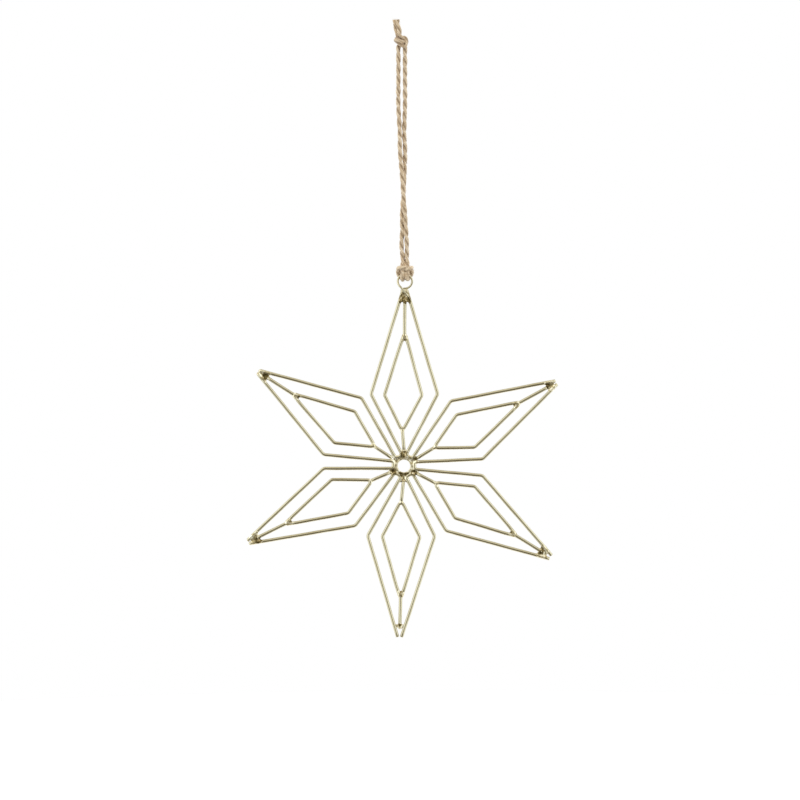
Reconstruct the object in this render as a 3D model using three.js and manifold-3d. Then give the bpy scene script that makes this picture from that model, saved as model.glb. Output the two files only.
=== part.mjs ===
// A hanging six-pointed star of bent and brazed brass wire, on a knotted loop of jute twine.
// Millimetres, +Z up. The origin is the hanging point, inside the loop just under its top knot.
// The star hangs in the XZ plane and shows its front to -Y.

import * as THREE from "three";
import { mergeVertices } from "three/addons/utils/BufferGeometryUtils.js";
import Module from "manifold-3d";

const wasm = await Module();
wasm.setup();

// Fit between pieces that are brazed or laid on each other.
const SEAT_GAP = 0.3;

// Star wire.
const WIRE_DIAMETER = 2;
const WIRE_SIDES = 10;

// Petals clockwise from the top, each as it was bent by hand: direction in degrees, share of the reach,
// shares of its right and left shoulders' places, how far the diamond's inner corner leans to the left,
// and how far the U bend on the petal's right sits to the left, the last two as shares of half widths.
const PETAL_REACH = 100; // hub to the wires' cut ends
const PETALS = [
  {
    name: "top",
    angle: 89.4,
    share: 1.012,
    right: [1.005, 1],
    left: [1, 1],
    lean: 0.1,
    uAside: 0.12,
  },
  {
    name: "upper_right",
    angle: 28.4,
    share: 1,
    right: [1.01, 0.953],
    left: [1.009, 1.034],
    lean: 0.08,
    uAside: 0.16,
  },
  {
    name: "lower_right",
    angle: -32.2,
    share: 0.994,
    right: [0.978, 0.988],
    left: [1, 1],
    lean: 0.11,
    uAside: 0.07,
  },
  {
    name: "bottom",
    angle: -91.8,
    share: 0.986,
    right: [0.985, 1.033],
    left: [0.97, 0.976],
    lean: -0.1,
    uAside: -0.12,
  },
  {
    name: "lower_left",
    angle: -154.3,
    share: 0.997,
    right: [1.021, 0.993],
    left: [0.976, 0.975],
    lean: -0.06,
    uAside: -0.14,
  },
  {
    name: "upper_left",
    angle: -213.2,
    share: 0.994,
    right: [1.014, 1.024],
    left: [1.027, 1.025],
    lean: -0.02,
    uAside: 0,
  },
].map((petal) => ({ ...petal, reach: PETAL_REACH * petal.share }));
const HANG_DROP = 240.2; // hanging point down to the hub's centre

// Outer wires: shoulders and tips along a petal and across it, then the U bend at the hub.
const SHOULDER_OUT = 41.3;
const SHOULDER_HALF = 19.16;
const SHOULDER_BEND = 3;
const TIP_HALF = 1.2;
const U_HALF = 2.05;
const U_BEND = 1.6;
const BEND_STEPS = 4;

// Hub ring, of thinner wire.
const HUB_RING_WIRE = 1.2;
const HUB_RING_RADIUS = 4.2; // to the middle of its wire
const HUB_RING_STEPS = 28;

// Diamond wires: inner corner, shoulders and the two cut ends.
const DIAMOND_NEAR = 19.8;
const DIAMOND_NEAR_BEND = 1.5;
const DIAMOND_SHOULDER_OUT = 40.8;
const DIAMOND_SHOULDER_HALF = 10.75;
const DIAMOND_SHOULDER_BEND = 2.5;
const DIAMOND_FAR_HALF = 1.2;

// Tip links stop short of the petals' reach, inside the braze there.
const TIP_LINK_SETBACK = 6;
const TIP_LINK_RUN = 26.4; // the diamonds' cut ends to the petals' reach

// Braze: flat fillets between converging wires, and collars round the hub links' outer ends.
const BRAZE_THICKNESS = 1.5;
const BRAZE_MENISCUS = 0.9; // how far a fillet's free edge is drawn in
const BRAZE_EDGE_STEPS = 6;
const TIP_BRAZE_LENGTH = 6.8;
const TIP_BRAZE_SETBACK = 1.5;
const FAR_BRAZE_LENGTH = 4.5;
const FAR_BRAZE_SETBACK = 1.5;
const HUB_BRAZE_FROM = 3.3; // spacing of two petal arms where the hub's braze between them begins
const HUB_BRAZE_LENGTH = 2.3;
const COLLAR_LENGTH = 2.4;
const COLLAR_WALL = 0.5;
const COLLAR_LIP = 0.15; // wall left at the collar's thin end
const COLLAR_LAP = 0.7; // how far the collar laps over the diamond's bend

// Hanging eye: a loop of thinner wire with one tail in front of the tip and one behind it.
const EYE_WIRE = 1.2;
const EYE_SIDES = 8;
const EYE_RADIUS = 4.1; // to the middle of its wire
const EYE_PAST_TIP = 5.1; // the top petal's cut ends to the eye's centre
const EYE_FRONT_TAIL = 8.4;
const EYE_BACK_TAIL = 4;
const EYE_FRONT_LEAVES = 220; // degrees round the eye from its right side
const EYE_BACK_LEAVES = -65;
const EYE_LEVEL_FROM = 145; // the eye lies in the star's plane between these two angles
const EYE_LEVEL_TO = 35;
const EYE_STEP = 9.5; // degrees

// Jute twine and its lark's head hitch on the eye.
const CORD_DIAMETER = 2.3;
const CORD_SIDES = 8;
const HITCH_SLACK = 0.5; // between the twine and the eye's wire
const STRAND_GAP = 0.35; // between neighbouring strands of the hitch
const HITCH_RISE = 7.6; // eye's top wire up to where the legs begin
const HITCH_STEPS = 72;
const LEG_STEPS = 22;
const KNOT_STEPS = 40;
const TAIL_STEPS = 4;
const BEND_REACH = 2.2; // diameters of twine along one bend

// The left leg's route, from the knot down; it passes in front and ends on the right of the hitch.
const LEFT_LEG = [
  [-1.9, 0, 0],
  [-1.95, 0, -6],
  [-2.05, 0, -18],
  [-2.05, -0.1, -33],
  [-1.4, -0.5, -48],
  [-1.35, -0.7, -58],
  [-0.3, -1.25, -72],
  [0.5, -1.35, -84],
  [1.5, -1.0, -96],
  [2.2, -0.4, -106],
];

// The right leg's route, from the knot down; it passes behind and ends on the left of the hitch.
const RIGHT_LEG = [
  [1.9, 0, 0],
  [1.85, 0, -6],
  [1.8, 0, -18],
  [1.75, 0.1, -33],
  [1.2, 0.5, -48],
  [1.6, 0.7, -58],
  [1.2, 1.25, -72],
  [0.5, 1.35, -84],
  [-0.3, 1.0, -96],
  [-0.5, 0.35, -106],
];

// Overhand knot: both strands rise through its middle, wind round outside it and rise through again.
const KNOT_TWINE = 1.65; // the twine's diameter where the knot presses it
const KNOT_CENTRE = -0.5;
const KNOT_RADIUS = 3.3; // to the middle of the winding strands
const KNOT_PITCH = 3.6;
const KNOT_WIND_FROM = 110; // degrees, seen from above
const KNOT_WIND = 420;
const KNOT_WIND_STEP = 35;
const KNOT_BOTTOM = 0.9;
const KNOT_TOP = 8.6;
const KNOT_SLANT = 0.34; // its left side is drawn up and its right side down
const LEFT_STRAND = {
  rise: [
    [-1.9, 0, 0.3],
    [-1.8, 0.15, 1.2],
    [-1.35, 0.75, 2.4],
    [-0.95, 1.2, 3.5],
    [-0.55, 2.1, 4.7],
  ],
  windFrom: 5.6,
  leave: [
    [-2.75, -1.95, 1.3],
    [-1.1, -2.0, 1.5],
    [0.2, -1.45, 2.3],
    [0.45, -1.0, 3.8],
    [0.25, -1.0, 5.6],
    [-0.4, -1.25, 7.6],
    [-0.6, -1.3, 8.6],
  ],
};
const RIGHT_STRAND = {
  rise: [
    [1.9, 0, 0.3],
    [1.75, 0.15, 1.2],
    [1.1, 0.6, 2.5],
    [0.6, 0.95, 3.9],
    [0.55, 1.4, 5.3],
    [0.1, 2.4, 6.6],
  ],
  windFrom: 7.3,
  leave: [
    [-3.0, -1.3, 2.95],
    [-1.95, -1.45, 3.9],
    [-1.5, -1.0, 5.4],
    [-1.95, -0.5, 7.4],
    [-2.7, -0.25, 8.6],
  ],
};

// The right tail's route above the knot, and the left tail's place beside it.
const RIGHT_TAIL = [
  [-0.66, -1.3, 8.9],
  [-1.1, -1.1, 11.5],
  [-1.7, -0.95, 14.5],
  [-2.0, -0.9, 16.8],
];
const LEFT_TAIL_ASIDE = [-2.1, 1.1, 0];

const wireRadius = WIRE_DIAMETER / 2;
const ringWireRadius = HUB_RING_WIRE / 2;
const eyeWireRadius = EYE_WIRE / 2;
const cordRadius = CORD_DIAMETER / 2;
const cutRadius = wireRadius + SEAT_GAP;
const degrees = THREE.MathUtils.degToRad;

const brass = { color: 0xcfc193, roughness: 0.34, metalness: 1 };
const braze = { color: 0x8f7f45, roughness: 0.5, metalness: 1 };
const jute = { color: 0xc3a681, roughness: 0.95, metalness: 0 };

const part = new THREE.Group();
const star = new THREE.Group();
star.position.z = -HANG_DROP;
part.add(star);

function addPiece(group, name, geometry, finish) {
  const mesh = new THREE.Mesh(geometry, new THREE.MeshStandardMaterial(finish));
  mesh.name = name;
  group.add(mesh);
}

// A centreline given by its stations: one ring of the tube stands at each.
class StationCurve extends THREE.Curve {
  constructor(stations) {
    super();
    this.stations = stations;
  }

  getSpacedPoints() {
    return this.stations;
  }

  getTangentAt(share, target = new THREE.Vector3()) {
    const last = this.stations.length - 1;
    const here = Math.round(share * last);
    const before = this.stations[Math.max(here - 1, 0)];
    const after = this.stations[Math.min(here + 1, last)];
    return target.subVectors(after, before).normalize();
  }
}

// Round section of a wire or twine.
function roundSection(radius, sides) {
  const corner = (k) => degrees((360 * k) / sides);
  const points = Array.from(
    { length: sides },
    (_, k) => new THREE.Vector2(radius * Math.cos(corner(k)), radius * Math.sin(corner(k))),
  );
  return new THREE.Shape(points);
}

function tube(stations, radius, sides) {
  return new THREE.ExtrudeGeometry(roundSection(radius, sides), {
    steps: stations.length - 1,
    extrudePath: new StationCurve(stations),
  });
}

// Stations of a bent wire: straight runs between its corners, each corner rounded to its own radius.
function bentWire(corners, radii) {
  const stations = [corners[0]];
  radii.forEach((radius, k) => {
    const corner = corners[k + 1];
    const into = corner.clone().sub(corners[k]).normalize();
    const out = corners[k + 2].clone().sub(corner).normalize();
    const turn = into.angleTo(out);
    const axis = into.clone().cross(out).normalize();
    const start = corner.clone().addScaledVector(into, -radius * Math.tan(turn / 2));
    const centre = start.clone().addScaledVector(axis.clone().cross(into), radius);
    for (let step = 0; step <= BEND_STEPS; step += 1) {
      const arm = start.clone().sub(centre);
      stations.push(arm.applyAxisAngle(axis, (turn * step) / BEND_STEPS).add(centre));
    }
  });
  stations.push(corners[corners.length - 1]);
  return stations;
}

// The same centreline with both ends drawn out, to cut room for a wire and its fit.
function drawnOut(stations, length) {
  const ends = [stations[0], stations[stations.length - 1]];
  const next = [stations[1], stations[stations.length - 2]];
  const [first, last] = ends.map((end, k) => {
    const outward = end.clone().sub(next[k]).normalize();
    return end.clone().addScaledVector(outward, length);
  });
  return [first, ...stations.slice(1, -1), last];
}

function solidOf(geometry) {
  const bare = geometry.clone();
  bare.deleteAttribute("normal");
  bare.deleteAttribute("uv");
  const merged = mergeVertices(bare, 1e-4);
  return new wasm.Manifold(
    new wasm.Mesh({
      numProp: 3,
      vertProperties: merged.attributes.position.array,
      triVerts: new Uint32Array(merged.index.array),
    }),
  );
}

function geometryOf(solid) {
  const mesh = solid.getMesh();
  const geometry = new THREE.BufferGeometry();
  geometry.setAttribute("position", new THREE.BufferAttribute(mesh.vertProperties, 3));
  geometry.setIndex(new THREE.BufferAttribute(mesh.triVerts, 1));
  geometry.computeVertexNormals();
  return geometry;
}

// The geometry less the room that each wire and its fit take up.
function clearOf(geometry, wires) {
  const room = wires.map((stations) => solidOf(tube(drawnOut(stations, SEAT_GAP), cutRadius, WIRE_SIDES)));
  return geometryOf(room.reduce((left, wire) => left.subtract(wire), solidOf(geometry)));
}

// A point u along a petal from the hub, v to its left and y behind the star's plane.
function onPetal(petal, u, v, y = 0) {
  const turn = degrees(petal.angle);
  return new THREE.Vector3(
    u * Math.cos(turn) - v * Math.sin(turn),
    y,
    u * Math.sin(turn) + v * Math.cos(turn),
  );
}

// The matrix that lays a flat piece, drawn along a petal and across it, into the star.
function petalMatrix(petal) {
  const along = onPetal(petal, 1, 0);
  const across = onPetal(petal, 0, 1);
  return new THREE.Matrix4().makeBasis(along, across, along.clone().cross(across));
}

// How far to a petal's left a straight run lies, at u from the hub.
function leftOf(petal, [from, to], u) {
  const along = onPetal(petal, 1, 0);
  const across = onPetal(petal, 0, 1);
  const share = (u - from.dot(along)) / (to.dot(along) - from.dot(along));
  return from.dot(across) + share * (to.dot(across) - from.dot(across));
}

// How far from the hub two such runs are a given distance apart.
function whereApart(petal, [left, right], distance) {
  const apart = (u) => leftOf(petal, left, u) - leftOf(petal, right, u);
  return (distance - apart(0)) / (apart(1) - apart(0));
}

// Outer wires
const uBottom = HUB_RING_RADIUS + ringWireRadius + SEAT_GAP + wireRadius;

function outerCorners(petal, nextPetal) {
  const middle = { angle: (petal.angle + nextPetal.angle) / 2 };
  const aside = petal.uAside * U_HALF;
  return [
    onPetal(petal, petal.reach, -TIP_HALF),
    onPetal(petal, SHOULDER_OUT * petal.right[0], -SHOULDER_HALF * petal.right[1]),
    onPetal(middle, uBottom, aside + U_HALF),
    onPetal(middle, uBottom, aside - U_HALF),
    onPetal(nextPetal, SHOULDER_OUT * nextPetal.left[0], SHOULDER_HALF * nextPetal.left[1]),
    onPetal(nextPetal, nextPetal.reach, TIP_HALF),
  ];
}

const outerRuns = PETALS.map((petal, k) => {
  const next = PETALS[(k + 1) % PETALS.length];
  const wrapped = k + 1 === PETALS.length ? next.angle - 360 : next.angle;
  return outerCorners(petal, { ...next, angle: wrapped });
});
const outerWires = outerRuns.map((corners) =>
  bentWire(corners, [SHOULDER_BEND, U_BEND, U_BEND, SHOULDER_BEND]),
);
outerWires.forEach((stations, k) => {
  addPiece(star, `outer_wire_${k + 1}`, tube(stations, wireRadius, WIRE_SIDES), brass);
});

// The runs of outer wire on a petal's left and right, at the hub and at the tip.
function armsOf(petal) {
  const k = PETALS.indexOf(petal);
  const last = (k + PETALS.length - 1) % PETALS.length;
  const [rightTip, rightShoulder, rightU] = outerRuns[k];
  const [leftU, leftShoulder, leftTip] = outerRuns[last].slice(-3);
  return {
    wires: [outerWires[last], outerWires[k]],
    atHub: [[leftU, leftShoulder], [rightU, rightShoulder]],
    atTip: [[leftShoulder, leftTip], [rightShoulder, rightTip]],
  };
}

// Hub ring
const ring = new THREE.TorusGeometry(HUB_RING_RADIUS, ringWireRadius, WIRE_SIDES, HUB_RING_STEPS);
addPiece(star, "hub_ring", ring.rotateX(degrees(90)), brass);

// Diamond wires and links
const diamondFar = PETAL_REACH - TIP_LINK_RUN;
const diamondNearTurn = 2 * Math.atan2(DIAMOND_SHOULDER_OUT - DIAMOND_NEAR, DIAMOND_SHOULDER_HALF);
const diamondApex = DIAMOND_NEAR + DIAMOND_NEAR_BEND * (1 / Math.cos(diamondNearTurn / 2) - 1);
const hubLinkEnd = diamondApex - wireRadius - SEAT_GAP;
const farRun = (DIAMOND_SHOULDER_HALF - DIAMOND_FAR_HALF) / (diamondFar - DIAMOND_SHOULDER_OUT);
const tipLinkStart = diamondFar + wireRadius * Math.sin(Math.atan(farRun)) + SEAT_GAP;

// A diamond leans most at its inner corner and not at all at its cut ends.
function onDiamond(petal, u, v) {
  const share = (diamondFar - u) / (diamondFar - DIAMOND_NEAR);
  return onPetal(petal, u, v + petal.lean * DIAMOND_SHOULDER_HALF * share);
}

const diamondCorners = (petal) => [
  onDiamond(petal, diamondFar, DIAMOND_FAR_HALF),
  onDiamond(petal, DIAMOND_SHOULDER_OUT, DIAMOND_SHOULDER_HALF),
  onDiamond(petal, DIAMOND_NEAR, 0),
  onDiamond(petal, DIAMOND_SHOULDER_OUT, -DIAMOND_SHOULDER_HALF),
  onDiamond(petal, diamondFar, -DIAMOND_FAR_HALF),
];
const diamondBends = [DIAMOND_SHOULDER_BEND, DIAMOND_NEAR_BEND, DIAMOND_SHOULDER_BEND];
const diamondWire = (petal) => bentWire(diamondCorners(petal), diamondBends);

// The hub's braze fills the pocket where two arms part, and the link starts in the pocket's mouth.
const hubBrazeStart = (petal) => whereApart(petal, armsOf(petal).atHub, HUB_BRAZE_FROM);
const hubBrazeEnd = (petal) => hubBrazeStart(petal) + HUB_BRAZE_LENGTH;

function hubLink(petal) {
  const start = hubBrazeEnd(petal) + SEAT_GAP;
  const [left, right] = armsOf(petal).atHub.map((run) => leftOf(petal, run, start));
  return [onPetal(petal, start, (left + right) / 2), onDiamond(petal, hubLinkEnd, 0)];
}
const tipLink = (petal) => [
  onPetal(petal, tipLinkStart, 0),
  onPetal(petal, petal.reach - TIP_LINK_SETBACK, 0),
];

PETALS.forEach((petal) => {
  addPiece(star, `diamond_${petal.name}`, tube(diamondWire(petal), wireRadius, WIRE_SIDES), brass);
  addPiece(star, `hub_link_${petal.name}`, tube(hubLink(petal), wireRadius, WIRE_SIDES), brass);
  addPiece(star, `tip_link_${petal.name}`, tube(tipLink(petal), wireRadius, WIRE_SIDES), brass);
});

// Braze fillet: a flat web between two runs of wire, its wide edge drawn in.
function fillet(petal, [left, right], narrowAt, wideAt) {
  const meniscus = 2 * BRAZE_MENISCUS * Math.sign(narrowAt - wideAt);
  const [narrowLeft, wideLeft] = [narrowAt, wideAt].map((u) => leftOf(petal, left, u));
  const [narrowRight, wideRight] = [narrowAt, wideAt].map((u) => leftOf(petal, right, u));
  const outline = new THREE.Shape();
  outline.moveTo(narrowAt, narrowRight);
  outline.lineTo(wideAt, wideRight);
  outline.quadraticCurveTo(wideAt + meniscus, (wideLeft + wideRight) / 2, wideAt, wideLeft);
  outline.lineTo(narrowAt, narrowLeft);
  outline.closePath();
  const web = new THREE.ExtrudeGeometry(outline, {
    depth: BRAZE_THICKNESS,
    bevelEnabled: false,
    curveSegments: BRAZE_EDGE_STEPS,
  });
  return web.translate(0, 0, -BRAZE_THICKNESS / 2).applyMatrix4(petalMatrix(petal));
}

// A tapered collar round the hub link, thickest where it meets the diamond's bend.
function nearCollar([from, to]) {
  const bore = cutRadius;
  const rim = bore + COLLAR_WALL;
  const profile = [
    new THREE.Vector2(bore, 0),
    new THREE.Vector2(bore + COLLAR_LIP, 0),
    new THREE.Vector2(rim, COLLAR_LENGTH),
    new THREE.Vector2(rim, COLLAR_LENGTH + COLLAR_LAP),
    new THREE.Vector2(bore, COLLAR_LENGTH + COLLAR_LAP),
    new THREE.Vector2(bore, 0),
  ];
  const along = to.clone().sub(from).normalize();
  const up = new THREE.Vector3(0, 1, 0);
  const place = new THREE.Matrix4().makeBasis(along, up, along.clone().cross(up)).setPosition(to);
  const collar = new THREE.LatheGeometry(profile, WIRE_SIDES).rotateZ(degrees(-90));
  return collar.translate(-COLLAR_LENGTH, 0, 0).applyMatrix4(place);
}

PETALS.forEach((petal) => {
  const { wires, atHub, atTip } = armsOf(petal);
  const [farLeft, shoulderLeft, , shoulderRight, farRight] = diamondCorners(petal);
  const atFar = [[shoulderLeft, farLeft], [shoulderRight, farRight]];
  const diamond = diamondWire(petal);
  const tipEdge = petal.reach - TIP_BRAZE_SETBACK;
  const farEdge = diamondFar - FAR_BRAZE_SETBACK;
  const tipWeb = fillet(petal, atTip, tipEdge, tipEdge - TIP_BRAZE_LENGTH);
  const farWeb = fillet(petal, atFar, farEdge, farEdge - FAR_BRAZE_LENGTH);
  const hubWeb = fillet(petal, atHub, hubBrazeStart(petal), hubBrazeEnd(petal));
  const collar = nearCollar(hubLink(petal));
  addPiece(star, `tip_braze_${petal.name}`, clearOf(tipWeb, [...wires, tipLink(petal)]), braze);
  addPiece(star, `far_braze_${petal.name}`, clearOf(farWeb, [diamond]), braze);
  addPiece(star, `near_braze_${petal.name}`, clearOf(collar, [diamond]), braze);
  addPiece(star, `hub_braze_${petal.name}`, clearOf(hubWeb, wires), braze);
});

// Hanging eye: round from the front tail over the top and under to the back tail.
const eyeStandOff = wireRadius + SEAT_GAP + eyeWireRadius;
const eyeOut = PETALS[0].reach + EYE_PAST_TIP;

function eyeDepth(angle) {
  const { smoothstep } = THREE.MathUtils;
  const inFront = smoothstep(angle, EYE_LEVEL_FROM, EYE_FRONT_LEAVES);
  const behind = smoothstep(-angle, -EYE_LEVEL_TO, -EYE_BACK_LEAVES);
  return eyeStandOff * (behind - inFront);
}

function eyeStations() {
  const top = PETALS[0];
  const at = (right, up, y) => onPetal(top, eyeOut + up, -right, y);
  const around = (angle, past) => {
    const turn = degrees(angle);
    return at(
      EYE_RADIUS * Math.cos(turn) + past * Math.sin(turn),
      EYE_RADIUS * Math.sin(turn) - past * Math.cos(turn),
      eyeDepth(angle),
    );
  };
  const sweep = EYE_FRONT_LEAVES - EYE_BACK_LEAVES;
  const steps = Math.round(sweep / EYE_STEP);
  const loop = Array.from({ length: steps + 1 }, (_, k) =>
    around(EYE_FRONT_LEAVES - (sweep * k) / steps, 0),
  );
  return [around(EYE_FRONT_LEAVES, -EYE_FRONT_TAIL), ...loop, around(EYE_BACK_LEAVES, EYE_BACK_TAIL)];
}
addPiece(star, "hanging_eye", tube(eyeStations(), eyeWireRadius, EYE_SIDES), brass);

// Twine
const twinePoint = ([x, y, z]) => new THREE.Vector3(x, y, z);
const twine = (points, steps) => new THREE.CatmullRomCurve3(points).getSpacedPoints(steps);

// Lark's head: a leg comes down in front of the eye's wire, passes under it, rises behind and outwards,
// and comes forward over the top into the bar that crosses in front of both legs.
function hitchPoints() {
  const wrap = eyeWireRadius + cordRadius + HITCH_SLACK;
  const spacing = CORD_DIAMETER + STRAND_GAP;
  const half = [
    [0.5 * spacing, 0.1 * wrap, HITCH_RISE],
    [0.5 * spacing, 0.12 * wrap, 0.78 * HITCH_RISE],
    [0.5 * spacing, 0.02 * wrap, 1.95 * wrap],
    [0.5 * spacing, -0.4 * wrap, 1.2 * wrap],
    [0.5 * spacing, -0.9 * wrap, 0.5 * wrap],
    [0.5 * spacing, -wrap, -0.25 * wrap],
    [0.52 * spacing, -0.66 * wrap, -1.05 * wrap],
    [0.64 * spacing, 0.12 * wrap, -1.42 * wrap],
    [0.92 * spacing, 0.86 * wrap, -1.15 * wrap],
    [1.27 * spacing, 1.12 * wrap, -0.4 * wrap],
    [1.48 * spacing, wrap, 0.5 * wrap],
    [1.52 * spacing, 0.5 * wrap, 1.3 * wrap],
    [1.5 * spacing, -0.3 * wrap, 1.72 * wrap],
    [1.26 * spacing, -1.08 * wrap, 1.82 * wrap],
    [0.7 * spacing, -1.46 * wrap, 1.75 * wrap],
  ];
  const middle = [0, -1.54 * wrap, 1.7 * wrap];
  const mirrored = half.map(([x, y, z]) => [-x, y, z]).reverse();
  const eyeTop = onPetal(PETALS[0], eyeOut + EYE_RADIUS, 0).add(star.position);
  return [...half, middle, ...mirrored].map((point) => twinePoint(point).add(eyeTop));
}

// The least clear space between two stretches of a tube that lie further apart along it than a bend.
function leastSelfGap(points, diameter) {
  const run = [0];
  points.slice(1).forEach((point, k) => run.push(run[k] + point.distanceTo(points[k])));
  const bendLength = BEND_REACH * diameter;
  let least = Infinity;
  points.forEach((point, k) => {
    points.slice(k + 1).forEach((other, m) => {
      const apart = run[k + 1 + m] - run[k];
      if (apart > bendLength) least = Math.min(least, point.distanceTo(other) - diameter);
    });
  });
  return least;
}

const hitch = hitchPoints();
const hitchFine = twine(hitch, 4 * HITCH_STEPS);
console.log(`hitch: least gap to itself ${leastSelfGap(hitchFine, CORD_DIAMETER).toFixed(2)} mm`);
addPiece(part, "cord_hitch", tube(twine(hitch, HITCH_STEPS), cordRadius, CORD_SIDES), jute);

// The legs come straight down onto the hitch's two ends.
function legPoints(route, hitchEnd) {
  const end = hitchEnd.clone().add(new THREE.Vector3(0, 0, SEAT_GAP));
  const above = end.clone().add(new THREE.Vector3(0, 0, CORD_DIAMETER));
  return [...route.map(twinePoint), above, end];
}
const leftLeg = legPoints(LEFT_LEG, hitch[0]);
const rightLeg = legPoints(RIGHT_LEG, hitch[hitch.length - 1]);
addPiece(part, "cord_leg_left", tube(twine(leftLeg, LEG_STEPS), cordRadius, CORD_SIDES), jute);
addPiece(part, "cord_leg_right", tube(twine(rightLeg, LEG_STEPS), cordRadius, CORD_SIDES), jute);

// A point of the knot after it is pulled tight, held where the legs and the tails leave it.
function drawnAslant([x, y, z]) {
  const { smoothstep } = THREE.MathUtils;
  const middle = (KNOT_BOTTOM + KNOT_TOP) / 2;
  const loose = smoothstep(z, KNOT_BOTTOM, middle) - smoothstep(z, middle, KNOT_TOP);
  return [x, y, z - KNOT_SLANT * (x - KNOT_CENTRE) * loose];
}

// Overhand knot tied with both strands, pressed together into one piece.
function knotStrand({ rise, windFrom, leave }) {
  const turns = Math.round(KNOT_WIND / KNOT_WIND_STEP);
  const winding = Array.from({ length: turns + 1 }, (_, k) => {
    const wound = (KNOT_WIND * k) / turns;
    const angle = degrees(KNOT_WIND_FROM + wound);
    return [
      KNOT_CENTRE + KNOT_RADIUS * Math.cos(angle),
      KNOT_RADIUS * Math.sin(angle),
      windFrom - (KNOT_PITCH * wound) / 360,
    ];
  });
  return [...rise, ...winding, ...leave].map(drawnAslant).map(twinePoint);
}
const [leftStrand, rightStrand] = [LEFT_STRAND, RIGHT_STRAND].map((strand) => {
  const points = knotStrand(strand);
  const gap = leastSelfGap(twine(points, 4 * KNOT_STEPS), KNOT_TWINE);
  console.log(`knot strand: least gap to itself ${gap.toFixed(2)} mm`);
  return solidOf(tube(twine(points, KNOT_STEPS), KNOT_TWINE / 2, CORD_SIDES));
});
addPiece(part, "cord_knot", geometryOf(leftStrand.add(rightStrand)), jute);

const rightTail = RIGHT_TAIL.map(twinePoint);
const leftTail = rightTail.map((point) => point.clone().add(twinePoint(LEFT_TAIL_ASIDE)));
addPiece(part, "cord_tail_right", tube(twine(rightTail, TAIL_STEPS), cordRadius, CORD_SIDES), jute);
addPiece(part, "cord_tail_left", tube(twine(leftTail, TAIL_STEPS), cordRadius, CORD_SIDES), jute);

export default part;
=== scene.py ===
"""Looks of a hanging wire snowflake: smooth brass wire, flowed braze and two-ply jute twine."""

import itertools
import math

import bpy
import numpy as np
from mathutils import Matrix


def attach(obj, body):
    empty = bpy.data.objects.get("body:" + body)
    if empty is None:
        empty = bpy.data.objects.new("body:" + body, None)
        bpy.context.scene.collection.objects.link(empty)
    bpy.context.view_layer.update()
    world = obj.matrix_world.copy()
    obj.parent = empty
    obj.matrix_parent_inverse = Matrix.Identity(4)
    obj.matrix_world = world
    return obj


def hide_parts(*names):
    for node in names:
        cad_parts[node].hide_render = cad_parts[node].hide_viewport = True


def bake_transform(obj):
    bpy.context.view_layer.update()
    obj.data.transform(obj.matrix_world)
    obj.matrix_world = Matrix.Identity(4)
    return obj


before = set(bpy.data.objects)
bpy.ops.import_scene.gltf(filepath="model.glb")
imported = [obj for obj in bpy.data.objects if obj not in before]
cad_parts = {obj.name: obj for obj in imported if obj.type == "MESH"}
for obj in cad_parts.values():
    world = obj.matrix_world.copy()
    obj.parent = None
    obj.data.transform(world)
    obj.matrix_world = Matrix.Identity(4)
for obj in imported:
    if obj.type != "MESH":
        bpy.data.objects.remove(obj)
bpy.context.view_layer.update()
scene = bpy.context.scene
scene.view_settings.view_transform = "Standard"

MM = 0.001

# Camera: a long lens square on to the star, with the photograph's slight tilt.
VIEW_WIDTH = 0.4608
CAMERA_AWAY = 2.4
CAMERA_AIM = (-0.00209, 0.0, -0.2022)
CAMERA_ROLL = math.radians(-0.316)

camera = bpy.data.objects.new("camera", bpy.data.cameras.new("camera"))
scene.collection.objects.link(camera)
camera.data.angle = 2 * math.atan(VIEW_WIDTH / 2 / CAMERA_AWAY)
camera.matrix_world = (
    Matrix.Translation((CAMERA_AIM[0], -CAMERA_AWAY, CAMERA_AIM[2]))
    @ Matrix.Rotation(math.radians(90), 4, "X")
    @ Matrix.Rotation(CAMERA_ROLL, 4, "Z")
)
scene.camera = camera

# Sizes in millimetres, as the solids have them. Petals clockwise from the top: direction, reach, shares
# of the right and left shoulders' places, the diamond's lean and the shift of the U bend on the right.
PETALS = (
    ("top", 89.4, 101.2, (1.005, 1.0), (1.0, 1.0), 0.1, 0.12),
    ("upper_right", 28.4, 100.0, (1.01, 0.953), (1.009, 1.034), 0.08, 0.16),
    ("lower_right", -32.2, 99.4, (0.978, 0.988), (1.0, 1.0), 0.11, 0.07),
    ("bottom", -91.8, 98.6, (0.985, 1.033), (0.97, 0.976), -0.1, -0.12),
    ("lower_left", -154.3, 99.7, (1.021, 0.993), (0.976, 0.975), -0.06, -0.14),
    ("upper_left", -213.2, 99.4, (1.014, 1.024), (1.027, 1.025), -0.02, 0.0),
)
NAMES, ANGLES, REACHES, RIGHTS, LEFTS, LEANS, ASIDES = zip(*PETALS)
WIRE = 1.0
HUB = np.array((0.0, 0.0, -240.2))
# Bends: place along the petal, half width and bend radius.
SHOULDER = (41.3, 19.16, 3.0)
DIAMOND_SHOULDER = (40.8, 10.75, 2.5)
PINCH = (69.8, 2.3, 5.0)
# The diamond's cut ends (place, half width) and its inner corner (place, bend radius).
FAR = (74.8, 0.65)
NEAR = (19.8, 1.5)
TIP_HALF = 1.1
U_BOTTOM = 6.1
U_HALF = 2.05
U_BEND = 1.6
RING = 4.2
RING_WIRE = 0.6
HUB_LINK_FROM = 9.4
TIP_LINK_FROM = 73.6
TIP_LINK_SETBACK = 5.4
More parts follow.
